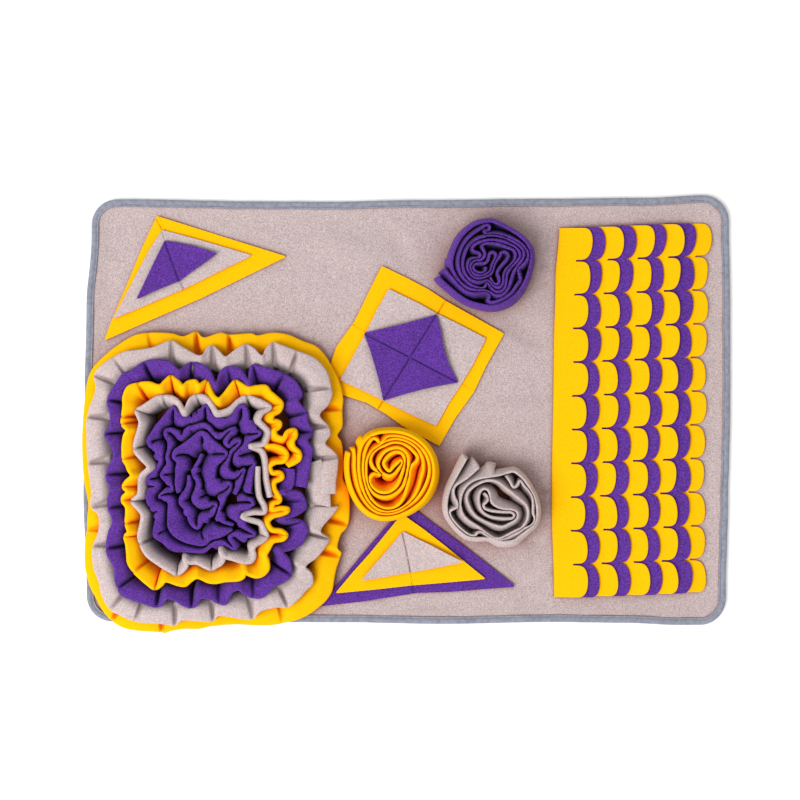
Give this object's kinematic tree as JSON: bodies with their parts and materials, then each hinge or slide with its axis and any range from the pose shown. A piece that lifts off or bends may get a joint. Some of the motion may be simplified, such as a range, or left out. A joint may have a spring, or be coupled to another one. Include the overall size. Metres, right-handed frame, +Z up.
{
  "type": "snuffle mat",
  "caption": "Flat bound cloth mat with gathered ruffles, rolled rosettes, stacked shapes and scalloped strips that hide dry food for a pet.",
  "frame": {"origin": "on the mat's flat underside, at the middle of its length and width", "axes": "+X along the mat's length towards the scalloped panel, +Y along its width, +Z up out of its top"},
  "size_m": [0.7014, 0.4687, 0.0471],
  "materials": {
    "mat_cloth": "matte short nap",
    "binding_tape": "matte ribbed tape",
    "yellow_fleece": "matte fleece",
    "purple_fleece": "matte fleece",
    "taupe_fleece": "matte fleece"
  },
  "bodies": {
    "root": {"mat_base": "mat_cloth", "edge_binding": "binding_tape", "ruffle_1_yellow": "yellow_fleece", "ruffle_2_taupe": "taupe_fleece", "ruffle_3_purple": "purple_fleece", "ruffle_4_yellow": "yellow_fleece", "ruffle_5_taupe": "taupe_fleece", "ruffle_6_purple": "purple_fleece", "ruffle_7_purple": "purple_fleece", "ruffle_8_purple": "purple_fleece", "ruffle_9_purple": "purple_fleece", "rosette_purple": "purple_fleece", "rosette_yellow": "yellow_fleece", "rosette_taupe": "taupe_fleece", "square_1_yellow": "yellow_fleece", "square_2_taupe": "taupe_fleece", "square_3_purple": "purple_fleece", "triangle_1_yellow": "yellow_fleece", "triangle_2_taupe": "taupe_fleece", "triangle_3_purple": "purple_fleece", "wedge_1_purple": "purple_fleece", "wedge_2_yellow": "yellow_fleece", "wedge_3_taupe": "taupe_fleece", "scallop_strip_1_yellow": "yellow_fleece", "scallop_strip_2_purple": "purple_fleece", "scallop_strip_3_yellow": "yellow_fleece", "scallop_strip_4_purple": "purple_fleece", "scallop_strip_5_yellow": "yellow_fleece", "scallop_strip_6_purple": "purple_fleece", "scallop_strip_7_yellow": "yellow_fleece", "scallop_strip_8_purple": "purple_fleece", "scallop_strip_9_yellow": "yellow_fleece"}
  },
  "joints": []
}
